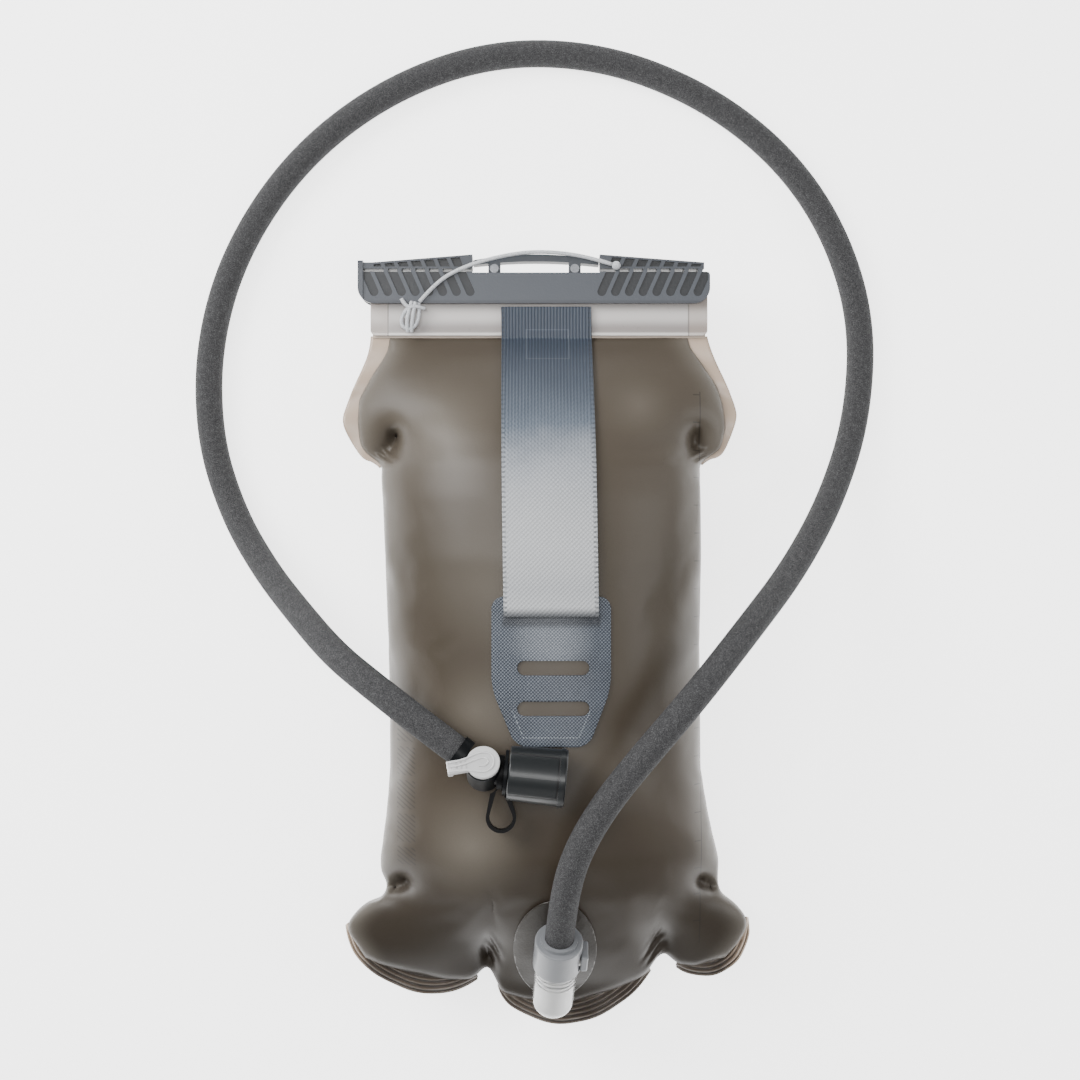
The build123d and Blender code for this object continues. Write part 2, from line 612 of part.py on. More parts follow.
def mouthpiece():
    outlet = along(hub_point, outlet_axis)
    bite = rod(outlet, bite_radius, bite_start, bite_start + 4.0)
    bite += rod(outlet, 7.4, bite_start, bite_start + 9.0)
    tip = Ellipse(8.6, 5.2)
    bite += outlet * Pos(0, 0, bite_start + 6.0) * extrude(tip, bite_end - bite_start - 6.0)
    bite -= rod(outlet, 4.45, bite_start - 1, 19.2) + rod(outlet, 5.25, 15.4, 16.9)
    bite -= rod(outlet, 3.2, 19.0, bite_end - 1.6)
    bite -= outlet * Pos(0, 0, bite_end) * Box(9.0, 0.5, 6.0)
    shape = Cone(cover_radius_open, cover_radius_shut, cover_length, align=CENTRE_LOW)
    shape = outlet * Pos(0, 0, cover_start) * shape
    far = cover_start + cover_length
    cover = fillet(shape.edges().filter_by(GeomType.CIRCLE), 0.9)
    cover += ring(outlet, cover_radius_shut + 0.4, cover_radius_shut - 1.5, far - 3.2, far - 1.4)
    cover -= rod(outlet, cover_bore, cover_start - 1, far - cover_end)
    hub = Vector(*hub_point) + unit(outlet_axis) * 7.8
    wide = Pos(hub.X + 0.2, hub.Y - 22.5) * Circle(7.2)
    slim = Pos(hub.X - 0.6, hub.Y - 5.6) * Circle(3.2)
    wide_in = Pos(hub.X + 0.2, hub.Y - 22.5) * Circle(7.2 - tether_wall)
    slim_in = Pos(hub.X - 0.6, hub.Y - 10.5) * Circle(3.2 - tether_wall)
    loop = make_hull(wide.edges() + slim.edges()) - make_hull(wide_in.edges() + slim_in.edges())
    loop = Pos(0, 0, tether_low) * extrude(loop, tether_high - tether_low)
    loop -= rod(outlet, cover_radius_shut + 0.4, cover_start - 0.5, 45)
    loop -= rod(outlet, outlet_flange + 0.2, 9.4, cover_start)
    loop -= rod(along(hub_point, rotor_axis), hub_radius + 0.2, -20, 20)
    collar = ring(outlet, outlet_radius + 2.0, outlet_radius + 0.1, 6.6, 9.4)
    collar -= rod(along(hub_point, rotor_axis), hub_radius + 0.2, -20, 20)
    loop -= rod(outlet, outlet_radius + 0.1, 0, 11)
    return bite, cover, collar + loop


def lanyard(top_out):
    """Thin cord from the right ribbed block, over the bridge, down to the lug on the mouth band."""
    z = top_out + 1.6
    points = [(33, 190.2, z + 0.6), (22, 193.6, z + 1.3), (6, 196.2, z + 1.3), (-10, 196.4, z + 1.3),
              (-26, 193.6, z + 1.0), (-42, 188.8, z), (-55, 181.5, z), (-63.5, 171.5, z - 0.2)]
    radii = []
    for i in range(1, len(points) - 1):
        back = Vector(*points[i]) - Vector(*points[i - 1])
        ahead = Vector(*points[i + 1]) - Vector(*points[i])
        turn = math.radians(back.get_angle(ahead))
        radii.append(0.45 * min(back.length, ahead.length) / math.tan(turn / 2))
    path = FilletPolyline(*points, radius=radii)
    print("lanyard radii", [round(r) for r in radii], "length", round(path.length, 1))
    cord = sweep(Plane(origin=path @ 0, z_dir=path % 0) * Circle(lanyard_radius), path=path)
    # the stopper knot at the ribbed block and the hitch on the lug
    stopper = Pos(35.2, 189.6, z + 0.6) * Sphere(2.2)
    hitch_z = rail_z + lip_half + band_thick + 2.4 + 0.2
    hitch = rounded_block(-70.5, -62.5, 160.5, 168.5, hitch_z, hitch_z + 3.6, 1.6)
    hitch += Pos(-64.6, 168.4, z - 0.8) * Sphere(2.2)
    hitch -= cord
    stopper -= cord
    return cord, stopper, hitch


def main():
    os.makedirs("parts", exist_ok=True)
    outer = bag_solid(0)
    flange, socket, seal, poppet, spring, hole = port()
    front, rear = films(outer, hole)
    save("film_front", front)
    save("film_rear", rear)
    save("weld_ridges", weld_ridges(outer))
    print("inner volume, litres", round(bag_solid(-film_wall).volume / 1e6, 2))
    save("port_flange", flange)
    save("port_socket", socket)
    save("port_seal", seal)
    save("shutoff_poppet", poppet)
    save("poppet_spring", spring)
    lips, band, rail = mouth()
    save("mouth_lips", lips)
    save("mouth_band", band)
    save("fold_rail", rail)
    strap, patch = strap_and_patch()
    save("strap_webbing", strap)
    save("strap_patch", patch)
    slider, top_out = slide_seal()
    save("slide_seal", slider)
    bar, pins = hanger()
    save("hanger_bridge", bar)
    save("hanger_pins", pins)
    cord, stopper, hitch = lanyard(top_out)
    save("lanyard_cord", cord)
    save("lanyard_stopper", stopper)
    save("lanyard_hitch", hitch)
    names = ("plug_collar", "plug_nose", "plug_o_rings", "release_button", "latch_plate", "button_spring",
             "grip_ring")
    for name, shape in zip(names, plug()):
        save(name, shape)
    tube, sleeve = hose()
    save("drink_tube", tube)
    save("insulating_sleeve", sleeve)
    names = ("valve_body", "shutoff_rotor", "rotor_o_rings", "shutoff_lever", "sleeve_ring")
    for name, shape in zip(names, valve()):
        save(name, shape)
    for name, shape in zip(("bite_valve", "dust_cover", "cover_tether"), mouthpiece()):
        save(name, shape)


main()
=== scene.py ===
import bpy
import bmesh
import math
import numpy as np
from mathutils import Matrix, Vector
from mathutils.bvhtree import BVHTree


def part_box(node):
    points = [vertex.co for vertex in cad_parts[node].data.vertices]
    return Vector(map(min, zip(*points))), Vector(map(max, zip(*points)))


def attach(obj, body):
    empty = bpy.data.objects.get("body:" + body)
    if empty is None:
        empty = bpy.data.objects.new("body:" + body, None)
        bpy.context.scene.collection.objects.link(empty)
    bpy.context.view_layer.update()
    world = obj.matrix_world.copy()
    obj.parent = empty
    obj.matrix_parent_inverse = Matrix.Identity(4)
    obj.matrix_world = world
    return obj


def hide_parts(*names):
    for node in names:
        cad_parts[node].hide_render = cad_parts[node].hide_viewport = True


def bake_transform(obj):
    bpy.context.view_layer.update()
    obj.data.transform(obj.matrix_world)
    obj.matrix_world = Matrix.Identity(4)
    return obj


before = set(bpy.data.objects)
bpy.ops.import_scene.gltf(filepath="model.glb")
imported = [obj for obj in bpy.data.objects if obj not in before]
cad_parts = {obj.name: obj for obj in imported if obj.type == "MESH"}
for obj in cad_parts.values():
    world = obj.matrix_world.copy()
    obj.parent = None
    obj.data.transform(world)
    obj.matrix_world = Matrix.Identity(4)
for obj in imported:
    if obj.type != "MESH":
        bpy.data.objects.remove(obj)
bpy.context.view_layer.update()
mm = 0.001


def hue(*colour):    # a display colour, 0 to 255, as linear light
    return tuple(((c / 255 + 0.055) / 1.055) ** 2.4 if c > 10 else c / 3294 for c in colour) + (1.0,)


class Signal:    # a node's output, with arithmetic
    def __init__(self, tree, socket):
        self.tree = tree
        self.socket = socket

    def math(self, operation, other=0.0, swap=False):
        node = self.tree.nodes.new("ShaderNodeMath")
        node.operation = operation
        for place, value in enumerate((other, self) if swap else (self, other)):
            if isinstance(value, Signal):
                self.tree.links.new(value.socket, node.inputs[place])
            else:
                node.inputs[place].default_value = value
        return Signal(self.tree, node.outputs[0])

    def __add__(self, other):
        return self.math("ADD", other)

    def __radd__(self, other):
        return self.math("ADD", other, True)

    def __sub__(self, other):
        return self.math("SUBTRACT", other)

    def __rsub__(self, other):
        return self.math("SUBTRACT", other, True)

    def __mul__(self, other):
        return self.math("MULTIPLY", other)

    def __rmul__(self, other):
        return self.math("MULTIPLY", other, True)


class Finish:    # one procedural material on a Principled shader
    def __init__(self, name, **fixed):
        self.material = bpy.data.materials.new(name)
        self.material.use_nodes = True
        self.tree = self.material.node_tree
        self.shader = self.tree.nodes["Principled BSDF"]
        for key, value in fixed.items():
            self.shader.inputs[key.replace("_", " ")].default_value = value

    def node(self, kind, settings=None, inputs=None, out=0):
        made = self.tree.nodes.new(kind)
        for key, value in (settings or {}).items():
            if key == "stops":
                ramp = made.color_ramp
                ramp.elements[0].position, ramp.elements[0].color = value[0]
                ramp.elements[1].position, ramp.elements[1].color = value[-1]
                for place, colour in value[1:-1]:
                    ramp.elements.new(place).color = colour
            else:
                setattr(made, key, value)
        for key, value in (inputs or {}).items():
            if isinstance(value, Signal):
                self.tree.links.new(value.socket, made.inputs[key])
            else:
                made.inputs[key].default_value = value
        return Signal(self.tree, made.outputs[out])

    def place(self):
        return self.node("ShaderNodeTexCoord", out="Object")

    def axes(self):
        apart = self.node("ShaderNodeSeparateXYZ", inputs={0: self.place()})
        outputs = apart.socket.node.outputs
        return [Signal(self.tree, outputs[k]) for k in range(3)]

    def attribute(self, name):
        return self.node("ShaderNodeAttribute", {"attribute_name": name}, out="Fac")

    def noise(self, scale, detail=3.0, rough=0.5, stretch=None):
        where = self.place()
        if stretch:
            where = self.node("ShaderNodeMapping", inputs={"Vector": where, "Scale": stretch})
        return self.node("ShaderNodeTexNoise", inputs={"Vector": where, "Scale": scale, "Detail": detail,
                                                       "Roughness": rough})

    def ramp(self, factor, stops):
        return self.node("ShaderNodeValToRGB", {"stops": stops}, {0: factor})

    def mix(self, factor, first, second):
        return self.node("ShaderNodeMix", {"data_type": "RGBA"}, {0: factor, 6: first, 7: second}, 2)

    def feed(self, socket, value):
        self.tree.links.new(value.socket, self.shader.inputs[socket])

    def bump(self, height, distance, strength=1.0):
        self.feed("Normal", self.node("ShaderNodeBump", inputs={"Height": height, "Distance": distance,
                                                                "Strength": strength}))


def smoothStep(signal, low, high):    # 0 below low, 1 above high
    node = signal.tree.nodes.new("ShaderNodeMapRange")
    node.interpolation_type = "SMOOTHSTEP"
    signal.tree.links.new(signal.socket, node.inputs[0])
    node.inputs[1].default_value = low
    node.inputs[2].default_value = high
    return Signal(signal.tree, node.outputs[0])


def newObject(name, mesh, material=None):
    made = bpy.data.objects.new(name, mesh)
    bpy.context.scene.collection.objects.link(made)
    if material:
        mesh.materials.append(material)
    return made


def meshFrom(name, build, material=None, smooth=True):
    build.normal_update()
    mesh = bpy.data.meshes.new(name)
    build.to_mesh(mesh)
    build.free()
    for face in mesh.polygons:
        face.use_smooth = smooth
    return newObject(name, mesh, material)


def settle(piece):    # modifiers become the mesh
    ready = bpy.context.evaluated_depsgraph_get()
    mesh = bpy.data.meshes.new_from_object(piece.evaluated_get(ready))
    piece.modifiers.clear()
    piece.data = mesh
    return piece


def modify(piece, kind, **settings):
    modifier = piece.modifiers.new(kind.title(), kind)
    for key, value in settings.items():
        setattr(modifier, key, value)
    return modifier


bag = {
    "rows": 120, "columns": 76, "step": 1.5, "mouth": 155, "footLow": -160, "turns": 1500,
    "seam": [(-200, 33), (-165, 37), (-110, 42), (-40, 46), (50, 46), (110, 42), (160, 38)],
    "top": [(-186, 36), (-180, 38.5), (-173, 42), (-165, 49.4), (-154, 59), (-138, 70.6), (-122, 82),
            (-104, 90.2),
            (-80, 93.6), (-48, 95.5), (0, 96), (43, 96), (74, 92.6), (90, 88.8), (106, 81.1), (120, 71),
            (134, 59.5), (146, 48), (154, 40.2), (156, 39)],
    "under": [(-186, 35), (-173, 31), (-165, 25), (-154, 15.4), (-138, 5.8), (-122, 0), (-104, -3.8), (-80, -6),
              (74, -4), (90, 0), (106, 4.8), (120, 11.5), (134, 21), (146, 30), (154, 36), (156, 37)],
    "left": [(-160, -91), (-152.5, -96), (-146, -100.5), (-141, -100.5), (-134, -95), (-128, -87.5),
             (-125, -80.5),
             (-120.5, -80.5), (-115, -83.5), (-108, -83.8), (-85, -80.6), (-62, -78.8), (-30, -78.8),
             (0, -79.6),
             (43, -81.2), (66, -82), (85, -83.2), (89, -82.5), (92, -85), (95, -91), (100, -94), (111, -95.3),
             (123, -94.7), (135, -88.1), (147, -80.3), (155, -79)],
    "right": [(-160, 90), (-152.5, 97), (-144, 102), (-138, 101.5), (-130.5, 95.5), (-126, 88.6), (-121, 87),
              (-108, 87.3), (-85, 81.8), (-62, 78), (0, 77.4), (43, 78.2), (85, 78), (90, 77.5), (93, 80),
              (96.5, 88), (108.5, 91), (119, 90), (130, 86.5), (141.5, 78.8), (149.5, 72.8), (155, 71.8)],
    "foot": [(-91, -160), (-83.6, -163.8), (-66.6, -168.1), (-50, -171.5), (-38.2, -171.5), (-33.5, -168),
             (-29.2, -162.5), (-26, -169), (-23.5, -177.5), (-9.8, -181.6), (13, -183), (32.9, -177),
             (47, -171),
             (52.5, -166.5), (55, -160.5), (58.9, -156.5), (63.4, -160.5), (67, -163.5), (75.5, -164.3),
             (90, -160)],
    "creases": [[(-86, 89), (-80, 94.5), (-75, 101), (-76, 105.5)], [(80, 90), (76.5, 96), (73, 101.5),
                 (75, 105.5)],
                [(-82, -123), (-75, -122.4), (-69.5, -119)], [(89, -123.5), (82, -122), (77.5, -118.5)],
                [(-29.2, -163), (-29, -155), (-27, -150)], [(58.9, -157), (57.8, -150), (55.5, -144)]],
    "creaseWide": 1.1,
}


def along(table, at, soft=1.5):    # the table's value, with its corners eased
    places, values = zip(*table)
    return sum(np.interp(at + shift * soft, places, values) for shift in (-1, -0.5, 0, 0.5, 1)) / 5


def inflate():    # the pillow that a sheet of this outline makes, as heights from 0 to 1 on a raster
    xs = np.arange(-105, 106.5, bag["step"])
    ys = np.arange(-186, 157.5, bag["step"])
    x, y = np.meshgrid(xs, ys)
    inside = (x > along(bag["left"], y)) & (x < along(bag["right"], y))
    inside &= (y > along(bag["foot"], x)) & (y < bag["mouth"])
    for crease in bag["creases"]:
        for (x0, y0), (x1, y1) in zip(crease, crease[1:]):
            run = np.array([x1 - x0, y1 - y0])
            t = np.clip(((x - x0) * run[0] + (y - y0) * run[1]) / (run @ run), 0, 1)
            inside &= np.hypot(x - x0 - t * run[0], y - y0 - t * run[1]) > bag["creaseWide"]
    middle = (along(bag["left"], y) + along(bag["right"], y)) / 2
    half = (along(bag["right"], y) - along(bag["left"], y)) / 2
    swell = np.where(inside, np.maximum(half ** 2 - (x - middle) ** 2, 1) / 2, 0)
    for turn in range(bag["turns"]):
        near = (np.roll(swell, 1, 0) + np.roll(swell, -1, 0) + np.roll(swell, 1, 1) + np.roll(swell, -1, 1)) / 4
        swell = np.where(inside, near + bag["step"] ** 2 / 4, 0)
    tallest = np.maximum(swell.max(axis=1, keepdims=True), 4)
    return xs, ys, np.sqrt(swell / tallest)


def sample(raster, x, y):
    xs, ys, values = raster
    i = np.clip((x - xs[0]) / bag["step"], 0, len(xs) - 1.001)
    j = np.clip((y - ys[0]) / bag["step"], 0, len(ys) - 1.001)
    i0, j0 = i.astype(int), j.astype(int)
    fi, fj = i - i0, j - j0
    low = values[j0, i0] * (1 - fi) + values[j0, i0 + 1] * fi
    high = values[j0 + 1, i0] * (1 - fi) + values[j0 + 1, i0 + 1] * fi
    return low * (1 - fj) + high * fj


def bagPoints(build, raster, front):    # moves a grid's vertices, which run from -1 to 1, onto one panel
    grid = np.array([v.co[:2] for v in build.verts])
    u, v = (grid[:, 0] + 1) / 2, (grid[:, 1] + 1) / 2
    ease = 0.5 - 0.5 * np.cos(np.pi * u)
    u = 0.45 * u + 0.55 * ease    # finer towards the seams
    y = -170 + (bag["mouth"] + 170) * v
    for turn in range(4):
        edge = np.maximum(y, bag["footLow"])
        x = along(bag["left"], edge) * (1 - u) + along(bag["right"], edge) * u
        foot = along(bag["foot"], x)
        y = foot + (bag["mouth"] - foot) * v
    border = (u < 1e-6) | (u > 1 - 1e-6) | (v < 1e-6) | (v > 1 - 1e-6)
    swell = np.where(border, 0, sample(raster, x, y))
    seam = along(bag["seam"], y, 6)
    if front:
        z = seam + (along(bag["top"], y, 3) - seam) * swell
    else:
        z = seam - (seam - along(bag["under"], y, 3)) * swell
        z = np.where(z < 6, 0.35 + 5.65 * np.exp((z - 6) / 5.65), z)    # eases onto the surface it lies on
    for vertex, place in zip(build.verts, np.stack([x, y, z], 1) * mm):
        vertex.co = place


def makeBag(raster):
    build = bmesh.new()
    for front in (True, False):
        half = bmesh.new()
        bmesh.ops.create_grid(half, x_segments=bag["columns"], y_segments=bag["rows"], size=1)
        bagPoints(half, raster, front)
        if not front:
            bmesh.ops.reverse_faces(half, faces=half.faces)
        panel = bpy.data.meshes.new("panel")
        half.to_mesh(panel)
        half.free()
        build.from_mesh(panel)
        bpy.data.meshes.remove(panel)
    bmesh.ops.remove_doubles(build, verts=build.verts, dist=0.00002)
    bmesh.ops.recalc_face_normals(build, faces=build.faces)
    return meshFrom("bagFilm", build, filmFinish())


clothValues = {"frames": 14, "pressure": 2.2, "cap": 0.0045, "stiff": 18, "share": 0.3, "mass": 0.25,
               "shear": 6, "bend": 3, "shrink": -0.012}


def simulateBag(film, raster):    # the film under the water's pressure, held at its seams and at the port
    rest = np.array([v.co for v in film.data.vertices])
    lift = sample(raster, rest[:, 0] / mm, rest[:, 1] / mm)
    group = film.vertex_groups.new(name="held")
    for index, (place, height) in enumerate(zip(rest, lift)):
        fromPort = ((place[0] / mm - 4) / 24) ** 2 + ((place[1] / mm + 152) / 26) ** 2
        nearPort = math.exp(-fromPort) if place[2] > 0.03 else 0
        hold = max(1 - 6 * height, nearPort, 1 if place[2] < 0.0012 else 0)
        group.add([index], min(1, max(0, hold)), "REPLACE")
    cloth = modify(film, "CLOTH")
    settings = cloth.settings
    settings.quality = 4
    settings.mass = clothValues["mass"]
    settings.tension_stiffness = clothValues["stiff"]
    settings.compression_stiffness = clothValues["stiff"]
    settings.shear_stiffness = clothValues["shear"]
    settings.bending_stiffness = clothValues["bend"]
    settings.use_pressure = True
    settings.uniform_pressure_force = clothValues["pressure"]
    settings.vertex_group_mass = "held"
    settings.effector_weights.gravity = 0
    settings.shrink_min = clothValues["shrink"]
    cloth.collision_settings.use_collision = False
    scene = bpy.context.scene
    cloth.point_cache.frame_start = 1
    cloth.point_cache.frame_end = clothValues["frames"]
    for number in range(1, clothValues["frames"] + 1):
        scene.frame_set(number)
    settle(film)
    scene.frame_set(1)
    for vertex, place in zip(film.data.vertices, rest):
        shift = Vector(vertex.co) - Vector(place)
        if shift.length > clothValues["cap"]:
            shift *= clothValues["cap"] / shift.length
        vertex.co = Vector(place) + shift * clothValues["share"]
        vertex.co.z = max(vertex.co.z, 0.0003)
    film.vertex_groups.clear()


def markBag(film):    # how near the weld each point is, for the finish's painted rim light
    co = np.array([v.co for v in film.data.vertices]) / mm
    y = co[:, 1]
    left, right = (along(bag[side], np.maximum(y, bag["footLow"])) for side in ("left", "right"))
    near = np.minimum(co[:, 0] - left, right - co[:, 0])
    values = np.clip(1 - near / 16, 0, 1)
    attribute = film.data.attributes.new("nearWeld", "FLOAT", "POINT")
    attribute.data.foreach_set("value", values.astype(np.float32))


scale = {"line": 0.0768, "half": 0.00026, "low": -0.150, "high": 0.126, "step": 0.0138, "short": 0.0036,
         "hatch": (-0.0735, -0.0640), "hatchLow": -0.108, "hatchHigh": -0.026,
         # filmHighlight: painted highlights on the film, as centre x, centre y, reach and strength
         "filmHighlight": [(-0.050, 0.108, 0.045, 0.3), (-0.036, -0.096, 0.045, 0.42), (0.046, 0.118, 0.035, 0.25),
                  (-0.034, -0.030, 0.040, 0.3), (0.034, -0.060, 0.035, 0.22), (-0.030, 0.030, 0.050, 0.15)]}


def between(signal, low, high, soft=0.00008):    # 1 inside a range
    return smoothStep(signal, low - soft, low + soft) * (1 - smoothStep(signal, high - soft, high + soft))


def scaleMarks(look, x, y, z):    # a plain fill scale, and a band of slanted bars
    line = between(x, scale["line"] - scale["half"], scale["line"] + scale["half"])
    phase = (y * (1 / scale["step"])).math("FRACT")
    tick = between(phase, 0.0, 0.036, 0.006) * between(x, scale["line"] - scale["short"], scale["line"])
    marks = line.math("MAXIMUM", tick) * between(y, scale["low"], scale["high"])
    slant = ((y + x * 0.7) * (1 / 0.0024)).math("FRACT")
    bars = between(slant, 0.25, 0.62, 0.05) * between(x, *scale["hatch"], 0.0003)
    gaps = 1 - between((y * (1 / 0.0165)).math("FRACT"), 0.0, 0.16, 0.01)
    bars = bars * gaps * between(y, scale["hatchLow"], scale["hatchHigh"])
    return (marks * 0.55 + bars * 0.5) * smoothStep(z, 0.030, 0.036)


def filmFinish():
    look = Finish("frostedFilm", Roughness=0.40, Specular_IOR_Level=0.28, Coat_Weight=0.06, Coat_Roughness=0.45)
    x, y, z = look.axes()
    cloud = look.noise(8.0, 2.0)
    # painted shade: the film darker towards the foot and lighter towards the top
    depth = smoothStep(y + cloud * 0.05, -0.16, 0.17)
    base = look.ramp(depth, [(0.0, hue(38, 32, 25)), (0.22, hue(60, 52, 42)), (0.75, hue(62, 55, 45)),
                             (1.0, hue(74, 67, 58))])
    # painted highlights: soft paler spots on the film
    filmHighlight = 0.0
    for middleX, middleY, reach, amount in scale["filmHighlight"]:
        away = ((x - middleX) * (x - middleX) + (y - middleY) * (y - middleY)).math("SQRT")
        filmHighlight = (1 - smoothStep(away + cloud * 0.02, 0.0, reach)) * amount + filmHighlight
    base = look.mix(filmHighlight, base, hue(138, 132, 122))
    # painted rim light: the film paler towards the welds
    rimLight = look.attribute("nearWeld")
    rimLit = look.mix(rimLight * rimLight * 0.5, base, hue(128, 123, 115))
    grain = look.noise(1400.0, 2.0, 0.6)
    speckled = look.mix(grain * 0.16, rimLit, hue(48, 43, 36))
    look.feed("Base Color", look.mix(scaleMarks(look, x, y, z), speckled, hue(30, 28, 25)))
    look.feed("Roughness", 0.34 + grain * 0.12)
    ripple = look.noise(26.0, 2.0, 0.45, (1.0, 0.55, 1.0))
    look.bump(ripple * 0.7 + grain * 0.02, 0.0035, 0.35)
    return look.material


margin = {
    "left": [(-88.6, 155), (-88.9, 148), (-93.3, 137.6), (-101.3, 119), (-103, 111), (-98, 100.6), (-92, 92.6),
             (-86.7, 91), (-84, 88.5)],
    "leftIn": [(-79.2, 155), (-80.4, 147), (-87.2, 136), (-93.8, 122), (-94.6, 111), (-93.2, 101),
               (-90.2, 95.5),
               (-85.6, 92.4), (-83.4, 89.5)],
    "right": [(81.6, 155), (82.6, 149.5), (89.2, 135), (96.4, 118), (95.8, 111), (90.5, 97), (86.5, 93.6),
              (82, 92.4), (79, 90)],
    "rightIn": [(72, 155), (73, 149.5), (84.6, 132), (89.4, 119), (90.4, 109), (87.6, 97.5), (84, 94.6),
                (80.5, 93.2), (78.2, 91)],
    "footA": [(-101.6, -143), (-100.5, -151), (-95, -162.5), (-76.5, -175.1), (-56.6, -179.8), (-41, -175.6),
              (-34.6, -171)],
    "footAIn": [(-100.6, -143), (-95.7, -151.5), (-90, -159), (-78, -164.6), (-58, -169), (-43, -170.8),
                (-34.8, -168.5)],
    "footB": [(-24.6, -174), (-23.5, -179), (-16, -187.4), (4.4, -195.2), (19, -193.4), (33, -187.4),
              (47, -176.5), (53.4, -166.5)],
    "footBIn": [(-24.2, -173), (-22.6, -177.6), (-14, -180.4), (4.4, -182.2), (17, -181.6), (31, -177.2),
                (45, -171.4), (52.6, -165.8)],
    "footC": [(66, -164.8), (70, -167.8), (81.2, -170), (92.5, -166.6), (99.8, -158.4), (103.8, -147),
              (102.6, -139)],
    "footCIn": [(66, -163), (70, -163.6), (78, -163.6), (89, -159.6), (96.2, -152.6), (101.6, -145),
                (101.6, -139.5)],
    "tuck": {"left": (3, 0), "right": (-3, 0), "footA": (0, 1.2), "footB": (0, 1.2), "footC": (0, 1.2)},
    "along": 110, "across": 40, "thick": 0.0012, "ridge": 0.0010, "pitch": 2.6,
}


def easyLine(points, count):    # a smooth line through given points
    curve = bpy.data.curves.new("line", "CURVE")
    curve.dimensions = "3D"
    curve.resolution_u = 24
    spline = curve.splines.new("NURBS")
    spline.points.add(len(points) - 1)
    for point, place in zip(spline.points, points):
        point.co = (*place, 0, 1)
    spline.order_u = 3
    spline.use_endpoint_u = True
    holder = bpy.data.objects.new("line", curve)
    mesh = bpy.data.meshes.new_from_object(holder)
    line = np.array([v.co[:2] for v in mesh.vertices])
    bpy.data.objects.remove(holder)
    walked = np.concatenate([[0], np.cumsum(np.hypot(*np.diff(line, axis=0).T))])
    at = np.linspace(0, walked[-1], count)
    return np.stack([np.interp(at, walked, line[:, k]) for k in (0, 1)], 1)


def makeMargins():    # the two films welded flat, outside the water
    shells = bmesh.new()
    shells.verts.layers.float.new("groove")
    for name, ridged in (("left", False), ("right", False), ("footA", True), ("footB", True), ("footC", True)):
        outer, inner = (easyLine(margin[name + end], margin["along"]) for end in ("", "In"))
        inner = inner + np.array(margin["tuck"][name])    # hidden under the film's bulge
        strip = bmesh.new()
        mark = strip.verts.layers.float.new("groove")
        across = margin["across"] if ridged else 8
        bmesh.ops.create_grid(strip, x_segments=margin["along"] - 1, y_segments=across, size=1)
        for vertex in strip.verts:
            t = (vertex.co.x + 1) / 2 * (margin["along"] - 1)
            s = (vertex.co.y + 1) / 2
            k = min(int(round(t)), margin["along"] - 1)
            x, y = inner[k] * (1 - s) + outer[k] * s
            width = np.hypot(*(outer[k] - inner[k]))
            z = float(along(bag["seam"], y, 6)) - 0.4
            ends = math.sin(math.pi * min(1, max(0, t / (margin["along"] - 1)))) ** 0.4
            z += 0.9 * math.sin(t * 0.21) * s * ends
            if ridged:
                wave = math.cos(2 * math.pi * (s * width - width) / margin["pitch"])
                inside = min(1, max(0, (s * width - 0.8) / 1.2))
                inside *= min(1, max(0, (width - s * width - 0.5) / 0.7))
                z += 1000 * margin["ridge"] * ends * wave * inside
                # how deep in a trough each point lies, where shade is painted
                vertex[mark] = max(0, -wave) * inside * ends
                z -= 2.0 * s
            vertex.co = Vector((x, y, z)) * mm
        part = bpy.data.meshes.new("strip")
        strip.to_mesh(part)
        strip.free()
        shells.from_mesh(part)
    bmesh.ops.recalc_face_normals(shells, faces=shells.faces)
    bmesh.ops.reverse_faces(shells, faces=[face for face in shells.faces if face.normal.z < 0])
    piece = meshFrom("weldMargins", shells, marginFinish())
    modify(piece, "SOLIDIFY", thickness=margin["thick"], offset=-1)
    return settle(piece)


def marginFinish():
    look = Finish("bareWeld", Roughness=0.38, Specular_IOR_Level=0.5, Coat_Weight=0.15, Coat_Roughness=0.25)
    x, y = look.axes()[:2]
    low = smoothStep(y, -0.16, -0.10)
    tip = smoothStep(x.math("ABSOLUTE"), 0.088, 0.100)
    pale = (low + (1 - low) * tip).math("MINIMUM", 1.0)
    cloud = look.noise(60.0, 3.0)
    tan = look.mix(cloud * 0.35, hue(176, 157, 139), hue(156, 138, 121))
    dark = look.mix(cloud * 0.4, hue(88, 79, 70), hue(64, 57, 49))
    troughShade = look.attribute("groove")
    # painted shade: the troughs between the weld ridges darkened
    look.feed("Base Color", look.mix(troughShade * 0.8, look.mix(pale, dark, tan), hue(22, 19, 16)))
    look.bump(look.noise(140.0, 2.0), 0.0006, 0.3)
    return look.material


def surfaceOf(piece):
    build = bmesh.new()
    build.from_mesh(piece.data)
    tree = BVHTree.FromBMesh(build)
    build.free()
    return tree


def dropOnto(tree, x, y, default):    # height of the film under a point, in metres
    hit = tree.ray_cast(Vector((x, y, 0.3)), Vector((0, 0, -1)))
    return hit[0].z if hit[0] else default


strap = {"width": 45.4, "low": 15.2, "high": 169.4, "thick": 0.0012, "rows": 150, "columns": 20, "lift": 1.3,
         "bandTop": 42.6, "middle": 2.6, "lean": -0.0148}


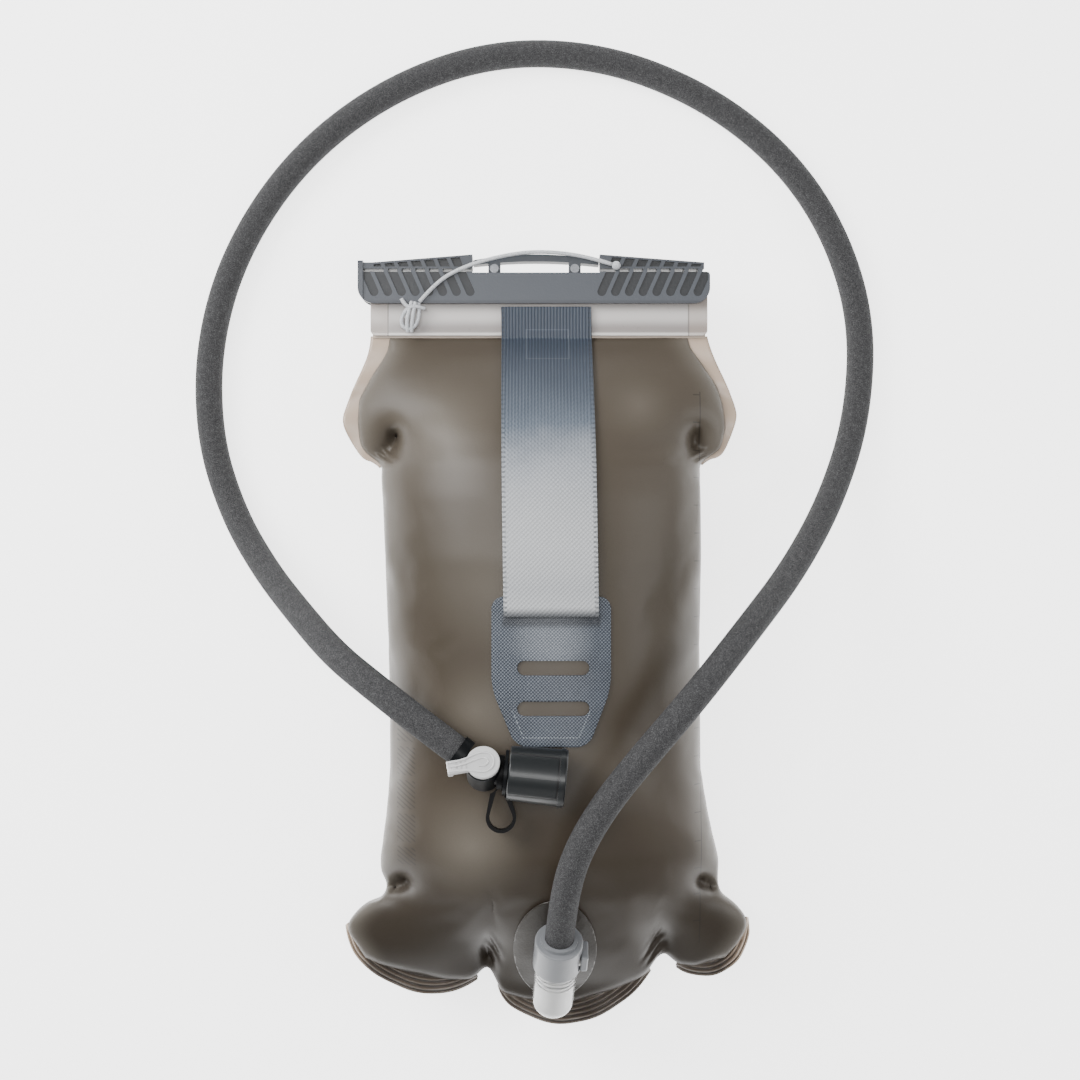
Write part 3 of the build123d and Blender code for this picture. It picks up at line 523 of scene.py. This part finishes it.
def makeStrap(tree):
    build = bmesh.new()
    bmesh.ops.create_grid(build, x_segments=strap["columns"], y_segments=strap["rows"], size=1)
    band = strap["bandTop"] * mm
    for vertex in build.verts:
        u, v = vertex.co.x, (vertex.co.y + 1) / 2
        y = strap["low"] + (strap["high"] - strap["low"]) * v
        x = strap["middle"] + strap["lean"] * y + u * strap["width"] / 2
        ridge = dropOnto(tree, (strap["middle"] + strap["lean"] * y) * mm, y * mm, 0.038)
        here = dropOnto(tree, x * mm, y * mm, 0.038)
        z = 0.55 * here + 0.45 * ridge if here < ridge else here
        z = max(here, z) + strap["lift"] * mm
        join = min(1, max(0, (y - 140) / 14))
        z = max(z, here + 0.0008) * (1 - join) + max(band, here + 0.0008) * join
        vertex.co = (x * mm, y * mm, z)
    bmesh.ops.smooth_vert(build, verts=build.verts, factor=0.5, use_axis_z=True)
    piece = meshFrom("strapWebbing", build, webbingFinish())
    modify(piece, "SOLIDIFY", thickness=strap["thick"], offset=1)
    modify(piece, "BEVEL", width=0.0004, segments=2, limit_method="ANGLE")
    return settle(piece)


def weave(look, pitch, mid):    # an over-and-under grid, 0 to 1
    x, y = look.axes()[:2]
    across = ((x - mid) * (math.pi / pitch)).math("SINE")
    down = (y * (math.pi / pitch)).math("SINE")
    return (across * down) * 0.5 + 0.5


def webbingFinish():
    look = Finish("wovenWebbing", Roughness=0.55, Sheen_Weight=0.2, Sheen_Roughness=0.4)
    x, y = look.axes()[:2]
    ribs = (x * (2 * math.pi / 0.0016)).math("SINE") * 0.5 + 0.5
    cross = weave(look, 0.0011, 0.0)
    upper = smoothStep(y, 0.070, 0.15)
    cloud = look.noise(35.0, 3.0)
    shade = smoothStep(y + cloud * 0.022, 0.060, 0.158)
    base = look.ramp(shade, [(0.0, hue(176, 178, 180)), (0.35, hue(148, 152, 158)), (0.65, hue(84, 94, 106)),
                             (1.0, hue(44, 54, 68))])
    # painted shadow: the strap's lower end darkened where it meets the patch
    foot = 1 - smoothStep(y, 0.0155, 0.0205)
    # painted shade: a slightly darker band just above the patch's upper edge
    riseShade = between(y, 0.024, 0.034, 0.006) * 0.2
    base = look.mix(riseShade, base, hue(130, 134, 140))
    threads = ribs * upper + cross * (1 - upper)
    dark = look.mix(threads, hue(30, 38, 50), base)
    base = look.mix(0.22 + upper * 0.3, base, dark)
    centre = x - 0.0025 + y * 0.0148
    edge = smoothStep(centre.math("ABSOLUTE"), 0.0206, 0.0212)
    dots = ((y * (2 * math.pi / 0.0024)).math("SINE") * 2.0).math("MAXIMUM", 0.0).math("MINIMUM", 1.0)
    base = look.mix(edge * dots * 0.55, base, hue(34, 40, 48))
    boxX, boxY = (centre - 0.0005).math("ABSOLUTE") * (1 / 0.0110), (y - 0.1500).math("ABSOLUTE") * (1 / 0.0080)
    stitch = between(boxX.math("MAXIMUM", boxY), 0.94, 1.0, 0.02)
    base = look.mix(stitch * 0.10, base, hue(150, 157, 165))
    look.feed("Base Color", look.mix(foot * 0.85, base, hue(20, 25, 33)))
    look.feed("Roughness", 0.46 + threads * 0.2)
    look.bump(threads, 0.0004, 0.9)
    return look.material


patch = {"half": 28.6, "middle": 2.4, "top": 25, "waist": -19, "foot": -47, "footHalf": 17,
         "windowWide": 34.5, "windowTall": 7.0, "windows": (-9.2, -28.6), "cell": 0.9, "lift": 0.15,
         "thick": 0.9}


def conformalSheet(name, tree, x0, x1, y0, y1, cell, lift, thick, material):    # a sheet laid on the film
    build = bmesh.new()
    bmesh.ops.create_grid(build, x_segments=int((x1 - x0) / cell), y_segments=int((y1 - y0) / cell), size=1)
    for vertex in build.verts:
        x = (x0 + (x1 - x0) * (vertex.co.x + 1) / 2) * mm
        y = (y0 + (y1 - y0) * (vertex.co.y + 1) / 2) * mm
        vertex.co = (x, y, dropOnto(tree, x, y, 0.035) + lift * mm)
    piece = meshFrom(name, build, material)
    modify(piece, "SOLIDIFY", thickness=thick * mm, offset=1)
    return piece


def flatShape(name, points, low, high, corner=0.0):    # an upright prism of an outline, its corners rounded
    build = bmesh.new()
    ring = [build.verts.new((x * mm, y * mm, low * mm)) for x, y in points]
    build.faces.new(ring)
    if corner:
        bmesh.ops.bevel(build, geom=ring, offset=corner * mm, segments=8, profile=0.5, affect="VERTICES",
                        material=-1)
    raised = bmesh.ops.extrude_face_region(build, geom=build.faces[:])
    bmesh.ops.translate(build, verts=[v for v in raised["geom"] if isinstance(v, bmesh.types.BMVert)],
                        vec=(0, 0, (high - low) * mm))
    bmesh.ops.recalc_face_normals(build, faces=build.faces)
    return meshFrom(name, build, smooth=False)


def cut(piece, tool, operation):
    modify(piece, "BOOLEAN", object=tool, operation=operation, solver="EXACT")
    settle(piece)
    bpy.data.objects.remove(tool)


def makePatch(tree):
    p = patch
    piece = conformalSheet("strapPatch", tree, p["middle"] - 31, p["middle"] + 31, p["foot"] - 2, p["top"] + 2,
                           p["cell"], p["lift"], p["thick"], patchFinish())
    settle(piece)
    mid = p["middle"]
    outline = [(mid - p["half"], p["waist"]), (mid - p["footHalf"], p["foot"]),
               (mid + p["footHalf"] + 1, p["foot"]), (mid + p["half"], p["waist"]),
               (mid + p["half"], p["top"]), (mid - p["half"], p["top"])]
    cut(piece, flatShape("trim", outline, 40, 120, 6.0), "INTERSECT")
    for y in p["windows"]:
        w, h = p["windowWide"] / 2, p["windowTall"] / 2
        corners = [(mid + 1 - w, y - h), (mid + 1 + w, y - h), (mid + 1 + w, y + h), (mid + 1 - w, y + h)]
        cut(piece, flatShape("slot", corners, 40, 120, h * 0.98), "DIFFERENCE")
    return piece


def patchFinish():
    look = Finish("coatedWeave", Roughness=0.4, Coat_Weight=0.2, Coat_Roughness=0.3)
    x, y = look.axes()[:2]
    threads = weave(look, 0.00085, 0.0)
    cloud = look.noise(45.0, 3.0)
    # painted highlight: a soft paler spot in the middle of the patch
    patchHighlight = 1 - smoothStep(((x - 0.003) * (x - 0.003) * 0.6 + (y - 0.004) * (y - 0.004)), 0.0, 0.00030)
    # painted shadow below the strap's lower end
    shade = between(y, 0.0105, 0.0165, 0.002) * between(x, -0.021, 0.026, 0.001)
    pale = look.mix(patchHighlight, hue(142, 150, 160), hue(176, 180, 186))
    navy = look.mix(cloud, hue(14, 21, 32), hue(36, 46, 60))
    navy = look.mix(patchHighlight * 0.5, navy, hue(96, 103, 112))
    lit = smoothStep(threads + cloud * 0.3, 0.5, 1.05) * 0.4
    base = look.mix(shade * 0.8, look.mix(lit, navy, pale), hue(16, 21, 30))
    across = (x - 0.0024).math("ABSOLUTE")
    slant = across + (y * -1.0 - 0.030) * 0.42
    seam = between((slant - 0.0185).math("MAXIMUM", y * -1.0 - 0.0425), -0.00016, 0.00016, 0.00006)
    dash = smoothStep((x * 4200.0 + y * 4200.0).math("SINE"), -0.3, 0.1)
    base = look.mix(seam * dash * (1 - smoothStep(y, -0.031, -0.029)) * 0.6, base, hue(176, 184, 190))
    look.feed("Base Color", base)
    look.bump(threads, 0.0004, 0.9)
    return look.material


portDisc = {"middle": 4.4, "y": -151, "wide": 20.6, "tall": 28.0, "lift": 0.1, "thick": 1.1}


def makePortDisc(tree):
    d = portDisc
    piece = conformalSheet("portDisc", tree, d["middle"] - 23, d["middle"] + 23, -178, -120, 1.0, d["lift"],
                           d["thick"], discFinish())
    settle(piece)
    outline = [(d["middle"] + d["wide"] * math.cos(a), max(-176.5, d["y"] + d["tall"] * math.sin(a)))
               for a in np.linspace(0, 2 * math.pi, 49)[:-1]]
    cut(piece, flatShape("trim", outline, 20, 120), "INTERSECT")
    return piece


def discFinish():
    look = Finish("portFilm", Roughness=0.36, Coat_Weight=0.2, Coat_Roughness=0.25)
    cloud = look.noise(30.0, 2.0)
    look.feed("Base Color", look.mix(cloud, hue(34, 29, 23), hue(42, 37, 30)))
    look.bump(look.noise(900.0, 2.0), 0.0002, 0.4)
    return look.material


hose = {"radius": 7.0, "length": 1.166, "route": [
    (6.3, -140.5, 87.5), (7.9, -120.8, 104.5), (13.0, -97.5, 114.5), (26.0, -73.5, 118.5), (45.5, -49.7, 116.5),
    (70.3, -22.8, 106.0), (97.0, 7.5, 83.0), (124.0, 37.4, 50.0), (147.5, 74.1, 20.0),
    (162.4, 117.2, 7.4), (164.5, 167.9, 7.3), (149.0, 215.4, 7.3), (121.1, 254.1, 7.3),
    (79.7, 284.9, 7.3), (28.0, 304.2, 7.3), (-28.2, 305.7, 7.3), (-82.2, 286.5, 7.3),
    (-128.1, 251.6, 7.3), (-160.5, 204.4, 7.3), (-175.4, 154.9, 7.3), (-175.1, 106.0, 7.6),
    (-162.2, 66.6, 13.0), (-142.7, 36.9, 32.0), (-121.5, 15.0, 61.0), (-102.3, -3.1, 86.3),
    (-82.9, -16.8, 102.6), (-61.9, -32.3, 110.5), (-41.1, -47.9, 110.5)]}


def nurbs(name, route, radius=0.0, rings=10):
    curve = bpy.data.curves.new(name, "CURVE")
    curve.dimensions = "3D"
    curve.resolution_u = 10
    spline = curve.splines.new("NURBS")
    spline.points.add(len(route) - 1)
    for point, (x, y, z) in zip(spline.points, route):
        point.co = (x * mm, y * mm, z * mm, 1)
    spline.order_u = 3
    spline.use_endpoint_u = True
    if radius:
        curve.bevel_depth = radius * mm
        curve.bevel_resolution = rings
        curve.use_fill_caps = True
    return curve


def makeHose():
    piece = newObject("hoseSleeve", nurbs("hoseSleeve", hose["route"], hose["radius"], 12))
    piece.data.materials.append(sleeveFinish())
    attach(piece, "hose")
    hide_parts("insulating_sleeve", "drink_tube")
    return piece


def sleeveFinish():
    look = Finish("knitSleeve", Roughness=0.85, Specular_IOR_Level=0.3)
    fine = look.noise(1900.0, 3.0, 0.75)
    coarse = look.noise(420.0, 2.0, 0.6)
    base = look.ramp(fine * 0.85 + coarse * 0.15, [(0.32, hue(30, 30, 31)), (0.5, hue(54, 54, 55)),
                                                   (0.66, hue(88, 88, 89))])
    look.feed("Base Color", base)
    look.bump(fine * 0.7 + coarse * 0.5, 0.0006, 0.9)
    return look.material


lanyard = {"radius": 1.0, "length": 0.1045}


def lanyardRoute():
    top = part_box("slide_seal")[1][2] / mm    # the end wall's top is a millimetre over the channel
    z = top - 1.0 + 1.6
    return [(33, 190.2, z + 0.6), (22, 193.6, z + 1.3), (6, 196.2, z + 1.3), (-10, 196.4, z + 1.3),
            (-26, 193.6, z + 1.0), (-42, 188.8, z), (-55, 181.5, z), (-63.5, 171.5, z - 0.2)]


def tubeAlong(name, route, radius, material, sides=4):
    piece = newObject(name, nurbs(name, route, radius, sides))
    mesh = bpy.data.meshes.new_from_object(piece)
    bpy.data.objects.remove(piece)
    build = bmesh.new()
    build.from_mesh(mesh)
    bmesh.ops.remove_doubles(build, verts=build.verts, dist=1e-6)
    bmesh.ops.recalc_face_normals(build, faces=build.faces)
    return meshFrom(name, build, material)


def pathOf(route):
    holder = bpy.data.objects.new("path", nurbs("path", route))
    mesh = bpy.data.meshes.new_from_object(holder)
    points = [tuple(v.co) for v in mesh.vertices]
    bpy.data.objects.remove(holder)
    return points


def cordFinish():
    look = Finish("braidedCord", Roughness=0.6, Sheen_Weight=0.2)
    twist = look.noise(1800.0, 2.0, 0.6)
    look.feed("Base Color", look.ramp(twist, [(0.3, hue(150, 153, 158)), (0.6, hue(200, 202, 205))]))
    look.bump(twist, 0.0003, 0.8)
    return look.material


def makeLanyard(material):
    route = lanyardRoute()
    piece = tubeAlong("lanyardCord", route, lanyard["radius"], material, 4)
    tuple(c * mm for c in route[-1])
    tuple(c * mm for c in route[0])
    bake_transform(piece)
    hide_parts("lanyard_cord")
    return piece, route


# the hitch on the band's lug: two loops round the lug and a short tail
hitch = {"thick": 0.95, "loops": [
    [(-64, 171, 44.5), (-63.5, 166, 45.6), (-65, 160, 45.4), (-69, 157.4, 44.6), (-73, 160, 45.2),
     (-72, 166, 45.8),
     (-67, 171, 45.6)],
    [(-65.5, 171.5, 46.6), (-66.6, 166, 47.0), (-67.4, 160, 46.2), (-67.6, 156.6, 44.4)],
    [(-67.4, 171.8, 46.0), (-69.2, 166, 46.8), (-70.0, 160, 46.2), (-69.4, 156.6, 44.4)],
    [(-60.8, 168.2, 45.2), (-65.5, 169.4, 47.6), (-70.2, 168.6, 46.0), (-72.6, 173.2, 46.6)]]}


def makeHitch(material):
    build = bmesh.new()
    for route in hitch["loops"]:
        strand = tubeAlong("strand", route, hitch["thick"], material, 3)
        build.from_mesh(strand.data)
        bpy.data.objects.remove(strand)
    piece = meshFrom("lanyardHitch", build, material)
    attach(piece, "reservoir")
    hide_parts("lanyard_hitch")
    return piece


# raised lines along the lever and round its disc, in the disc's own plane
ridges = {"hub": (-29.5, -56.6, 110.5), "axis": (0, 0.423, 0.906), "high": 12.75, "lean": 10, "thick": 0.55,
          "lines": [[(-16.5, 2.1), (-9, 2.3), (-4, 4.2), (0.5, 4.9), (4.4, 3.2), (5.2, 0), (4.2, -3.4),
                     (0.5, -5.0),
                     (-4, -4.2), (-9, -2.3), (-16.5, -2.1)],
                    [(-15.5, 0), (-9, 0.2), (-3, 1.8), (0.2, 2.2), (2.2, 0.9), (2.2, -0.9), (0.2, -2.2),
                     (-2.2, -1.6)]]}


def makeRidges(material):
    axis = Vector(ridges["axis"]).normalized()
    across = Vector((1, 0, 0))
    up = axis.cross(across)
    turn = math.radians(ridges["lean"])
    build = bmesh.new()
    for line in ridges["lines"]:
        route = []
        for x, y in line:
            u, v = x * math.cos(turn) - y * math.sin(turn), x * math.sin(turn) + y * math.cos(turn)
            route.append(tuple(Vector(ridges["hub"]) + axis * ridges["high"] + across * u + up * v))
        strand = tubeAlong("strand", route, ridges["thick"], material, 3)
        build.from_mesh(strand.data)
        bpy.data.objects.remove(strand)
    piece = meshFrom("leverRidges", build, material)
    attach(piece, "lever")
    return piece


def moulded(name, colour, rough=0.45, grain=700.0, depth=0.00012, spread=0.12, **more):
    look = Finish(name, Roughness=rough, **more)
    speck = look.noise(grain, 3.0, 0.6)
    cloud = look.noise(28.0, 3.0)
    deep = tuple(c * (1 - spread) for c in colour[:3]) + (1.0,)
    light = tuple(min(1, c * (1 + spread)) for c in colour[:3]) + (1.0,)
    look.feed("Base Color", look.mix(cloud * 0.7 + speck * 0.3, deep, light))
    look.feed("Roughness", (rough - 0.05) + speck * 0.1)
    look.bump(speck, depth, 0.5)
    return look.material


def slideFinish():    # pale ribs and faces; painted shade: dark pockets, and the face darker on its lower lip and above the ribs
    look = Finish("slideNylon", Roughness=0.4, Coat_Weight=0.1)
    y, z = look.axes()[1:]
    speck = look.noise(900.0, 3.0, 0.6)
    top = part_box("slide_seal")[1][2] - 0.001
    raised = smoothStep(z, top - 0.0011, top - 0.0003)
    above = smoothStep(y, 0.1875, 0.1882)
    low = 1 - smoothStep(y, 0.1712, 0.1730)
    # painted shade: the face darker above the ribs and on its lower lip
    face = look.mix(above * 0.35 + low * 0.6, hue(60, 64, 71), hue(33, 37, 43))
    pocketShade = look.mix(speck, hue(8, 11, 16), hue(16, 20, 26))
    look.feed("Base Color", look.mix(raised * 0.96 + speck * 0.04, pocketShade, face))
    look.feed("Roughness", 0.36 + speck * 0.12)
    look.bump(speck, 0.00012, 0.5)
    return look.material


def bandFinish():    # satin strip, with a painted highlight as a soft line of light along it and on its lower lip, and a seam near each end
    look = Finish("bandPlastic", Roughness=0.3, Coat_Weight=0.3)
    x, y = look.axes()[:2]
    wave = look.noise(30.0, 2.0, 0.5, (0.4, 1.0, 1.0))
    gleam = between(y + wave * 0.002, 0.1625, 0.1695, 0.003)
    lipGleam = 1 - smoothStep(y, 0.1562, 0.1572)
    base = look.mix(gleam, hue(132, 126, 123), hue(186, 182, 179))
    base = look.mix(lipGleam, base, hue(196, 192, 188))
    ends = between(x, -0.0800, -0.0793, 0.0002) + between(x, 0.0716, 0.0723, 0.0002)
    tips = (1 - smoothStep(x, -0.080, -0.079)) + smoothStep(x, 0.0716, 0.0726)
    base = look.mix(tips * 0.35, base, hue(150, 132, 116))
    look.feed("Base Color", look.mix(ends * 0.7, base, hue(92, 86, 82)))
    speck = look.noise(700.0, 2.0, 0.5)
    look.feed("Roughness", 0.25 + speck * 0.08)
    look.bump(speck, 0.00003, 0.3)
    return look.material


def socketFinish():    # clear plastic, with painted shade as grey bands in its grooves
    look = Finish("clearSocket", Roughness=0.16, Transmission_Weight=0.5, Coat_Weight=0.5, IOR=1.45)
    y = look.axes()[1]
    cloud = look.noise(160.0, 2.0)
    down = y * -1.0 - 0.1405
    grooveShade = between(down, 0.0222, 0.0232, 0.0005) + between(down, 0.0250, 0.0262, 0.0005)
    base = look.mix(cloud * 0.5, hue(228, 228, 227), hue(204, 204, 203))
    look.feed("Base Color", look.mix(grooveShade.math("MINIMUM", 1.0) * 0.7, base, hue(142, 143, 144)))
    look.feed("Roughness", 0.14 + cloud * 0.12)
    look.bump(cloud, 0.0002, 0.3)
    return look.material


def coverFinish():    # satin black, with the outline of a raised panel, its groove painted darker as shade
    look = Finish("coverBlack", Roughness=0.4, Specular_IOR_Level=0.35, Coat_Weight=0.25, Coat_Roughness=0.22)
    x, y, z = look.axes()
    along = (x + 0.0295) * 0.995 - (y + 0.0566) * 0.098
    side = (x + 0.0295) * 0.098 + (y + 0.0566) * 0.995
    right = (along - 0.0352).math("MAXIMUM", (side - 0.0006).math("ABSOLUTE") - 0.0098)
    top = smoothStep(z, 0.1105, 0.113)
    # painted shade in the panel's outline groove
    groove = between(right, -0.0004, 0.0003, 0.00012) * top
    speck = look.noise(800.0, 2.0, 0.5)
    look.feed("Base Color", look.mix(groove * 0.9, hue(12, 16, 18), hue(1, 1, 2)))
    look.feed("Roughness", 0.34 + speck * 0.1)
    look.bump(groove * -1.0 + speck * 0.04, 0.0003, 0.8)
    return look.material


def dressNodes():
    plain = {
        "slideFinish": (slideFinish(), ["slide_seal"]),
        "bridgeFinish": (moulded("bridgeNylon", hue(44, 49, 56), 0.42), ["hanger_bridge"]),
        "rivets": (moulded("rivetSteel", hue(120, 122, 126), 0.35, Metallic=0.9), ["hanger_pins"]),
        "bandFinish": (bandFinish(), ["mouth_band", "fold_rail"]),
        "lipFinish": (moulded("lipFilm", hue(170, 154, 138), 0.35, spread=0.06), ["mouth_lips"]),
        "clearFinish": (moulded("clearPort", hue(226, 226, 226), 0.2, spread=0.04, Transmission_Weight=0.35,
                                Coat_Weight=0.3), ["shutoff_lever"]),
        "socketFinish": (socketFinish(), ["port_socket"]),
        "collarFinish": (moulded("collarGrey", hue(112, 114, 117), 0.36, spread=0.06, Coat_Weight=0.1),
                         ["plug_collar", "release_button", "grip_ring"]),
        "noseFinish": (moulded("nosePlastic", hue(196, 196, 194), 0.4),
                       ["plug_nose", "shutoff_poppet", "latch_plate"]),
        "sealFinish": (moulded("sealRubber", hue(34, 34, 35), 0.6),
                       ["port_seal", "plug_o_rings", "rotor_o_rings"]),
        "springFinish": (moulded("springSteel", hue(170, 170, 172), 0.3, Metallic=0.95),
                         ["poppet_spring", "button_spring"]),
        "valveFinish": (moulded("valveBlack", hue(6, 8, 10), 0.42, depth=0.000012, Specular_IOR_Level=0.15),
                        ["valve_body", "shutoff_rotor", "sleeve_ring"]),
        "coverFinish": (coverFinish(), ["dust_cover"]),
        "biteFinish": (moulded("biteSilicone", hue(176, 180, 184), 0.35, Subsurface_Weight=0.15),
                       ["bite_valve"]),
        "tetherFinish": (moulded("tetherRubber", hue(3, 3, 4), 0.5, Specular_IOR_Level=0.12), ["cover_tether"]),
    }
    for material, names in plain.values():
        for name in names:
            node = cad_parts[name]
            node.data.materials.clear()
            node.data.materials.append(material)
    return plain


studio = {"lens": 70, "eye": (-3, 52, 1100), "world": 0.42, "floorGlow": 2.6,
          "lamps": [("key", (-1.0, 0.75, 0.95), 0.8, 0.8, 30), ("fill", (1.2, 0.1, 0.9), 0.8, 0.8, 8),
                    ("top", (-0.16, 0.12, 1.7), 0.32, 1.7, 20), ("low", (0.1, -1.3, 0.8), 0.7, 0.7, 1.5)]}


def makeStudio():
    scene = bpy.context.scene
    eye = bpy.data.cameras.new("eye")
    eye.lens = studio["lens"]
    eye.sensor_width = 36
    camera = newObject("eye", eye)
    camera.location = [c * mm for c in studio["eye"]]
    scene.camera = camera
    world = bpy.data.worlds.new("softWorld")
    world.use_nodes = True
    world.node_tree.nodes["Background"].inputs[0].default_value = (1, 1, 1, 1)
    world.node_tree.nodes["Background"].inputs[1].default_value = studio["world"]
    scene.world = world
    for name, place, wide, tall, power in studio["lamps"]:
        light = bpy.data.lights.new(name, "AREA")
        light.shape = "RECTANGLE"
        light.size = wide
        light.size_y = tall
        light.energy = power
        lamp = newObject(name, light)
        lamp.location = place
        lamp.rotation_euler = (Vector((0, 0.02, 0.03)) - Vector(place)).to_track_quat("-Z", "Y").to_euler()
    build = bmesh.new()
    bmesh.ops.create_grid(build, x_segments=2, y_segments=2, size=6)
    look = Finish("paleFloor", Roughness=0.9, Emission_Strength=studio["floorGlow"])
    x, y = look.axes()[:2]
    look.feed("Base Color", look.mix(look.noise(3.0), (0.86, 0.86, 0.86, 1), (0.88, 0.88, 0.88, 1)))
    away = (x * x + y * y).math("SQRT")
    look.feed("Emission Color", look.mix(smoothStep(away, 0.42, 1.3), (1, 1, 1, 1), (0.3, 0.3, 0.3, 1)))
    floor = meshFrom("floor", build, look.material)


makeStudio()
hosePiece = makeHose()
cordMaterial = cordFinish()
lanyardPiece, lanyardLine = makeLanyard(cordMaterial)
hitchPiece = makeHitch(cordMaterial)
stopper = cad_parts["lanyard_stopper"]
stopper.data.materials.clear()
stopper.data.materials.append(cordMaterial)
tuple(c * mm for c in lanyardLine[0])
pathOf(lanyardLine)
print("cords made")

raster = inflate()
film = makeBag(raster)
print("film shaped,", len(film.data.polygons), "faces")
simulateBag(film, raster)
print("film simulated")
markBag(film)
modify(film, "SUBSURF", levels=1, render_levels=1)
filmTree = surfaceOf(film)
margins = makeMargins()
for piece in (film, margins):
    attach(piece, "reservoir")
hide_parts("film_front", "film_rear")
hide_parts("weld_ridges")
print("margins made")

strapPiece = makeStrap(filmTree)
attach(strapPiece, "reservoir")
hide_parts("strap_webbing")
patchPiece = makePatch(filmTree)
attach(patchPiece, "reservoir")
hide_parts("strap_patch")
disc = makePortDisc(filmTree)
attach(disc, "reservoir")
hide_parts("port_flange")
print("strap, patch and port disc made")

finishes = dressNodes()
makeRidges(finishes["clearFinish"][0])
print("finishes set")
